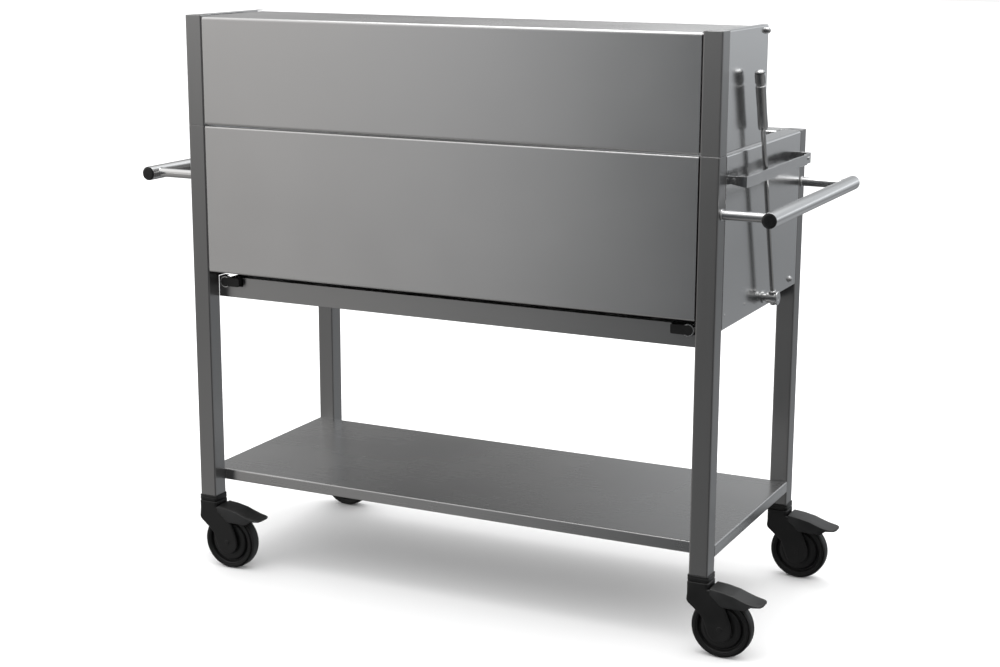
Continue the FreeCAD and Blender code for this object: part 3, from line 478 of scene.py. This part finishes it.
def fork_mesh():
    """Housing and two legs moulded together, hollow for the wheel, about a swivel axis at the origin."""
    bm = bmesh.new()
    squared(bm, HOUSING, Vector())
    leg = rounded(LEG, closed=True, steps=4)
    for leg_y in (-LEG_OUTER, LEG_OUTER - LEG_THICK):
        prism(bm, leg, Vector((0, leg_y, 0)) * MM, LEG_THICK)
    cutter_bm = bmesh.new()
    lathe(cutter_bm, [(-WELL_HALF, 0), (-WELL_HALF, WELL_R), (WELL_HALF, WELL_R), (WELL_HALF, 0)],
          Vector((WHEEL_TRAIL, 0, WHEEL_R)) * MM, Y, turns=72)
    lathe(cutter_bm, [(HOLE_LOW, 0), (HOLE_LOW, HOLE_R), (HOLE_HIGH, HOLE_R), (HOLE_HIGH, 0)], Vector(), Z)
    solids = []
    for name, part in (("fork_blank", bm), ("fork_cutter", cutter_bm)):
        bmesh.ops.recalc_face_normals(part, faces=part.faces)
        mesh = bpy.data.meshes.new(name)
        part.to_mesh(mesh)
        part.free()
        solids.append(bpy.data.objects.new(name, mesh))
        bpy.context.scene.collection.objects.link(solids[-1])
    blank, cutter = solids
    join = blank.modifiers.new("join", "REMESH")
    join.mode = "VOXEL"
    join.voxel_size = VOXEL * MM
    blend = blank.modifiers.new("soften", "SMOOTH")
    blend.factor = BLEND_FACTOR
    blend.iterations = BLEND_PASSES
    hollow = blank.modifiers.new("hollow", "BOOLEAN")
    hollow.object = cutter
    hollow.operation = "DIFFERENCE"
    hollow.solver = "EXACT"
    thin = blank.modifiers.new("thin", "DECIMATE")
    thin.ratio = KEPT_FACES
    bpy.context.view_layer.update()
    mesh = bpy.data.meshes.new_from_object(blank.evaluated_get(bpy.context.evaluated_depsgraph_get()))
    for solid in solids:
        bpy.data.objects.remove(solid)
    shaped = bmesh.new()
    shaped.from_mesh(mesh)
    soften(shaped)
    shaped.to_mesh(mesh)
    shaped.free()
    return mesh


def pedal_rings(bm, origin):
    """Cross-sections of a broad plate with a skirt down each side and a rounded tip."""
    rings = []
    start, end = PEDAL_LINE[0][0], PEDAL_LINE[-1][0]
    for step in range(PEDAL_STEPS + 1):
        x = start + (end - start) * (step / PEDAL_STEPS)
        top, low, wide = between(PEDAL_LINE, x), between(PEDAL_SKIRT, x), between(PEDAL_WIDTH, x)
        under = min(top - PEDAL_PLATE + 0.5, max(low + 0.3, top - PEDAL_PLATE))
        inside = min(PEDAL_INSIDE, wide - 1.2)
        outer = [(-wide + 0.5, low), (-wide, low + 0.6), (-wide, top - 2.4), (-wide + 0.7, top - 0.9),
                 (-wide + 2.4, top)]
        outer += [(wide * f, top + PEDAL_CROWN * (1 - f * f)) for f in (-0.6, -0.3, 0.0, 0.3, 0.6)]
        outer += [(-y, z) for y, z in outer[4::-1]]
        inner = [(inside, low), (inside, under - 0.2), (inside - 0.6, under)]
        inner += [(inside * f, under) for f in (0.5, 0.0, -0.5)]
        inner += [(-y, z) for y, z in inner[2::-1]]
        rings.append([bm.verts.new(origin + Vector((x, y, z)) * MM) for y, z in outer + inner])
    return rings


def caster_pedal(corner, origin):
    """Brake pedal, capped at both ends."""
    bm = bmesh.new()
    rings = pedal_rings(bm, origin)
    skin(bm, rings)
    for ring in (rings[0], rings[-1]):
        bm.faces.new(ring)
    place("pedal_" + corner, bm, "pedal_plastic", "pedal_" + corner, "caster_pedal_" + corner)


def caster_collar(corner, origin):
    """Square collar with a shallow groove under its rim, on a round pin."""
    bm = bmesh.new()
    squared(bm, COLLAR, origin)
    lathe(bm, rounded(PIN), origin, Z)
    place("collar_" + corner, bm, "caster_plastic", "frame", "caster_stems")


def caster_wheel(corner, axle):
    """Tyre with round shoulders, and a wheel with a recessed ring and a raised disc on both faces."""
    body = "wheel_" + corner
    bm = bmesh.new()
    lathe(bm, rounded(TYRE, closed=True), axle, Y, closed=True, turns=96)
    place("tyre_" + corner, bm, "tyre_rubber", body, "caster_tyre_" + corner)
    bm = bmesh.new()
    back = [(-along, radius, curve) for along, radius, curve in WHEEL_FACE[::-1]]
    lathe(bm, rounded(WHEEL_FACE + back, closed=True), axle, Y, closed=True, turns=96)
    place("wheel_" + corner, bm, "caster_plastic", body, "caster_wheel_" + corner)


def make_casters():
    """Fork, axle, pedal, collar, tyre and wheel at each corner."""
    moulded = fork_mesh()
    for corner in CORNERS:
        axle = middle("caster_axle_" + corner)
        origin = Vector((axle.x - WHEEL_TRAIL * MM, axle.y, 0))
        mesh = moulded.copy()
        mesh.transform(Matrix.Translation(origin))
        body = "caster_" + corner
        adopt("fork_" + corner, mesh, "caster_plastic", body, "caster_fork_" + corner)
        bm = bmesh.new()
        lathe(bm, rounded(AXLE), axle, Y, turns=32)
        place("axle_" + corner, bm, "caster_plastic", body, "caster_axle_" + corner)
        caster_pedal(corner, origin)
        caster_collar(corner, origin)
        caster_wheel(corner, axle)


# Handles -----------------------------------------------------------------------------------------

# Flare of an arm's weld on its post as (distance, radius past the arm's, curve)
ARM_FLARE = [(0, 2.2, 0.8), (1.6, 1.8, 1.0), (3.2, 0, 0.5)]
# How far an arm stops short of the bar's axis, and the weld bead round its end
ARM_SHORT, BEAD_OUT, BEAD_BACK, BEAD_R, BEAD_STEPS = 2, 0.5, 0.4, 1.5, 40
# Cap of a bar: distance past its end, radius less than the bar's, curve
CAP = [(-11, 2.1, 0.5), (-0.4, 2.1, 0), (0.1, 0.1, 0.3), (1.4, 0.5, 0.8), (2.4, 3.5, 1.5)]
CAP_TOP = 2.5


def handle_arm(name, foot, side, reach, arm_r, bar_r):
    """Arm from a post to the bar, flared at its foot and with a weld bead where it meets the round bar."""
    bm = bmesh.new()
    flare = [(along, arm_r + past, curve) for along, past, curve in ARM_FLARE]
    end = reach - ARM_SHORT
    lathe(bm, rounded([(0, 0, 0)] + flare + [(end, arm_r, 0), (end, 0, 0)]), foot, X * side)
    seam = []
    for turn in range(BEAD_STEPS):
        angle = 2 * math.pi * turn / BEAD_STEPS
        height = (arm_r + BEAD_OUT) * math.sin(angle)
        depth = reach - math.sqrt(bar_r ** 2 - height ** 2)
        seam.append(foot + Vector((side * (depth - BEAD_BACK), (arm_r + BEAD_OUT) * math.cos(angle), height)) * MM)
    tube(bm, seam, BEAD_R * MM)
    place(name, bm, "handle_steel", "frame", "handle_arms")


def make_handles():
    """A round bar at each end of the cart, on two arms, with a cap at both of its ends."""
    low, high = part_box("handle_bars")
    bar_z = (low.z + high.z) / 2
    radius = (high.z - low.z) / 2 / MM
    half = high.y / MM
    bar_x = high.x - radius * MM
    arm_low, arm_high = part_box("handle_arms")
    arm_r = (arm_high.z - arm_low.z) / 2 / MM
    arm_y = arm_high.y - arm_r * MM
    post_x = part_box("post_rear_right")[1].x
    reach = (bar_x - post_x) / MM
    cap = [(along, radius - less, curve) for along, less, curve in CAP]
    for end, side in ENDS.items():
        bm = bmesh.new()
        lathe(bm, rounded([(-half, 0, 0), (-half, radius, 0.6), (half, radius, 0.6), (half, 0, 0)]),
              Vector((side * bar_x, 0, bar_z)), Y, turns=64)
        place("handle_bar_" + end, bm, "handle_steel", "frame", "handle_bars")
        for row, y_side in (("rear", -1), ("front", 1)):
            foot = Vector((side * post_x, y_side * arm_y, bar_z))
            handle_arm("handle_arm_%s_%s" % (row, end), foot, side, reach, arm_r, radius)
            bm = bmesh.new()
            lathe(bm, rounded([(CAP[0][0], 0, 0)] + cap + [(CAP_TOP, 0, 0)]),
                  Vector((side * bar_x, y_side * half * MM, bar_z)), Y * y_side, turns=64)
            place("handle_cap_%s_%s" % (row, end), bm, "cap_plastic", "frame", "handle_caps")


# Lever -------------------------------------------------------------------------------------------

# Turned pieces as (distance from the pivot or the face, radius, curve), in millimetres
LEVER_ROD = [(9.2, 0), (9.2, 5.0), (366.0, 5.0), (366.0, 0)]
LEVER_GRIP = [(366, 0, 0), (366, 7.0, 0.6), (369, 9.1, 1.5), (375, 10.1, 2.0), (410, 9.7, 8.0), (452, 10.3, 4.0),
              (457.5, 10.2, 1.0), (458.6, 8.7, 0.6), (462.4, 8.7, 0.6), (463.5, 10.4, 1.0), (480.5, 10.7, 5.0),
              (487, 9.5, 3.0), (490, 5.0, 2.5), (490.2, 0, 0)]
HUB_SLEEVE = [(-12, 8.02, 0), (-12, 11.5, 1.0), (7.9, 11.5, 1.0), (7.9, 8.02, 0)]
HUB_SOCKET = [(9.5, 5.02, 0), (9.5, 7.8, 0), (16, 7.4, 1.2), (17, 5.02, 0.3)]
HUB_TAIL = [(9.5, 0, 0), (9.5, 6.0, 0), (15, 6.0, 1.6), (15, 0, 0)]
END_DISC = [(0, 0, 0), (0, 14, 0.8), (4, 14, 1.4), (4, 5, 0.6), (3.4, 4.2, 0.4), (3.4, 0, 0)]


def make_lever():
    """Rod, turned grip, hub and end disc of the lever."""
    pivot = Vector(JOINTS["lever_tilt"]["pos_m"])
    lean = math.radians(LEVER_LEAN)
    along = Vector((0, -math.sin(lean), math.cos(lean)))
    bm = bmesh.new()
    lathe(bm, LEVER_ROD, pivot, along)
    place("lift_lever_rod", bm, "handle_steel", "lever", "lever_rod")
    bm = bmesh.new()
    lathe(bm, rounded(LEVER_GRIP), pivot, along, turns=64)
    place("lift_lever_grip", bm, "handle_steel", "lever", "lever_grip")
    bm = bmesh.new()
    lathe(bm, rounded(HUB_SLEEVE, closed=True), pivot, X, closed=True)
    lathe(bm, rounded(HUB_SOCKET, closed=True), pivot, along, closed=True)
    lathe(bm, rounded(HUB_TAIL), pivot, -along)
    place("lift_lever_hub", bm, "handle_steel", "lever", "lever_hub")
    bm = bmesh.new()
    face = Vector((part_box("lever_end_disc")[0].x, pivot.y, pivot.z))
    lathe(bm, rounded(END_DISC), face, X, turns=64)
    place("lift_lever_disc", bm, "handle_steel", "lever", "lever_end_disc")


# Fasteners ---------------------------------------------------------------------------------------

# Heads as (height above the face, radius, curve), in millimetres
BOLT_HEAD = [(0, 0, 0), (0, 7.5, 0), (1.2, 7.4, 0.4), (1.3, 6.3, 0), (4.0, 5.6, 2.4), (6.6, 2.5, 2.2), (7.0, 0, 0)]
BOLT_R = 7.5
RIVET_HEAD = [(0, 0, 0), (0, 2.6, 0), (0.9, 2.0, 0.5), (1.0, 0, 0)]
RIVET_Y = (-220.6, -100.6)
DOME_NUT = [(0, 4.02, 0), (0, 6.4, 0.3), (3.2, 6.5, 0.6), (6.0, 5.7, 2.2), (9.2, 2.6, 2.4), (9.5, 0, 0)]


def make_fasteners():
    """Bolt and rivets on each end panel, and the dome nut on each end of the hood's tie rod."""
    bolt_low, bolt_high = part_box("panel_bolts")
    face_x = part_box("end_panel_right")[1].x
    bolt_z = (bolt_low.z + bolt_high.z) / 2
    tie = middle("hood_tie_rod")
    cheek_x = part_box("hood_cheek_right")[1].x
    for end, side in ENDS.items():
        out = X * side
        bm = bmesh.new()
        lathe(bm, rounded(BOLT_HEAD), Vector((side * face_x, bolt_high.y - BOLT_R * MM, bolt_z)), out)
        place("panel_bolt_" + end, bm, "fastener_steel", "frame", "panel_bolts")
        bm = bmesh.new()
        for y in RIVET_Y:
            lathe(bm, rounded(RIVET_HEAD), Vector((side * face_x, y * MM, bolt_z)), out, turns=24)
        place("panel_rivets_" + end, bm, "fastener_steel", "frame", "panel_bolts")
        bm = bmesh.new()
        lathe(bm, rounded(DOME_NUT), Vector((side * cheek_x, tie.y, tie.z)), out)
        place("hood_nut_" + end, bm, "fastener_steel", "hood", "hood_dome_nuts")


# Grates ------------------------------------------------------------------------------------------

# Rods along Y on cross rods along X, in millimetres
ROD_R, CROSS_R, RODS, ROD_INSET = 3, 4, 20, 8
CROSS_INSET, CROSS_MIDDLE = 9, 60
WELD_OUT, WELD_UP = 2.6, 3.2
WELD_SPOT = [(-1.6, 0, 0), (-1.0, 1.2, 0.5), (1.0, 1.2, 0.5), (1.6, 0, 0)]


def grate_rod(bm, start, axis, length, radius, curve, turns):
    """Rod with rounded tips."""
    lathe(bm, rounded([(0, 0, 0), (0, radius, curve), (length, radius, curve), (length, 0, 0)]), start, axis,
          turns=turns)


def make_grates():
    """Rods with rounded tips on cross rods, with a small weld at every crossing."""
    for index, word in enumerate(("left", "middle", "right")):
        node = "grate_%d" % (index + 1)
        low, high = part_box(node)
        bm = bmesh.new()
        cross_z, rod_z = low.z + CROSS_R * MM, high.z - ROD_R * MM
        long, deep = (high.x - low.x) / MM, (high.y - low.y) / MM
        crossings = [low.y + CROSS_INSET * MM, -CROSS_MIDDLE * MM, CROSS_MIDDLE * MM, high.y - CROSS_INSET * MM]
        for y in crossings:
            grate_rod(bm, Vector((low.x, y, cross_z)), X, long, CROSS_R, 1.2, 20)
        for rod in range(RODS):
            x = low.x + (ROD_INSET + rod * (long - 2 * ROD_INSET) / (RODS - 1)) * MM
            grate_rod(bm, Vector((x, low.y, rod_z)), Y, deep, ROD_R, 1.4, 16)
            for y in crossings:
                for side in (-1, 1):
                    spot = Vector((x + side * WELD_OUT * MM, y, cross_z + WELD_UP * MM))
                    lathe(bm, rounded(WELD_SPOT), spot, Y, turns=8)
        place("cooking_grate_" + word, bm, "grate_steel", "grate_body_" + word, node)


# Scene -------------------------------------------------------------------------------------------

make_camera()
make_world()
make_floor()
make_light("overhead", at=(0.1, 0.1, 3.4), aim=(0, 0, 0.3), size_x=3.0, size_y=2.6, power=60)
bpy.context.scene.view_settings.view_transform = "Standard"

# Name, grain axis, tone, roughness and stretch of each steel; name, tone and roughness of each plastic
FINISHES = {
    "panel_steel": brushed_steel("panel_steel", "X", 0.62, 0.25, 0.8),
    "end_steel": brushed_steel("end_steel", "Y", 0.62, 0.17, 0.6),
    # Posts: the same steel as the panels, toned darker as painted shade
    "shaded_post_steel": brushed_steel("shaded_post_steel", "Z", 0.45, 0.30, 0.8),
    # Rear beam: the same steel toned darker, as painted shade for the shade under the panel
    "shaded_beam_steel": brushed_steel("shaded_beam_steel", "X", 0.40, 0.30, 0.6),
    # Shelf: the same steel toned darker, as a painted darker reflection low under the cart
    "shaded_shelf_steel": brushed_steel("shaded_shelf_steel", "X", 0.48, 0.27, 0.6),
    "handle_steel": brushed_steel("handle_steel", "Y", 0.68, 0.20, 0.0),
    "fastener_steel": brushed_steel("fastener_steel", "X", 0.66, 0.22, 0.0),
    "grate_steel": brushed_steel("grate_steel", "Y", 0.5, 0.30, 0.0),
    # Firebox: dark steel, darkened further as painted shade for the shaded inside of the drawer
    "firebox_steel": brushed_steel("firebox_steel", "X", 0.14, 0.5, 0.0),
    "caster_plastic": moulded_plastic("caster_plastic", 0.004, 0.45),
    "pedal_plastic": moulded_plastic("pedal_plastic", 0.010, 0.38),
    "tyre_rubber": moulded_plastic("tyre_rubber", 0.003, 0.5),
    "cap_plastic": moulded_plastic("cap_plastic", 0.006, 0.2),
}
# Imported nodes whose sheet is brushed another way than the rest of their slot; the shelf and the rear beam also
# take a darker tone of the same steel, as painted shade
SPECIAL = {"end_panel_left": "end_steel", "end_panel_right": "end_steel", "hood_cheek_left": "end_steel",
           "hood_cheek_right": "end_steel", "lever_rack": "end_steel", "shelf": "shaded_shelf_steel",
           "rear_beam": "shaded_beam_steel"}
SLOTS = {part["node"]: part["material_slot"] for part in frame["record"]["subparts"]}
for name, obj in NODES.items():
    finish = SPECIAL.get(name, "shaded_post_steel" if SLOTS[name] == "frame_steel" else SLOTS[name])
    obj.data.materials.clear()
    obj.data.materials.append(FINISHES[finish])
    for polygon in obj.data.polygons:
        polygon.material_index = 0

make_casters()
make_handles()
make_lever()
make_fasteners()
make_grates()
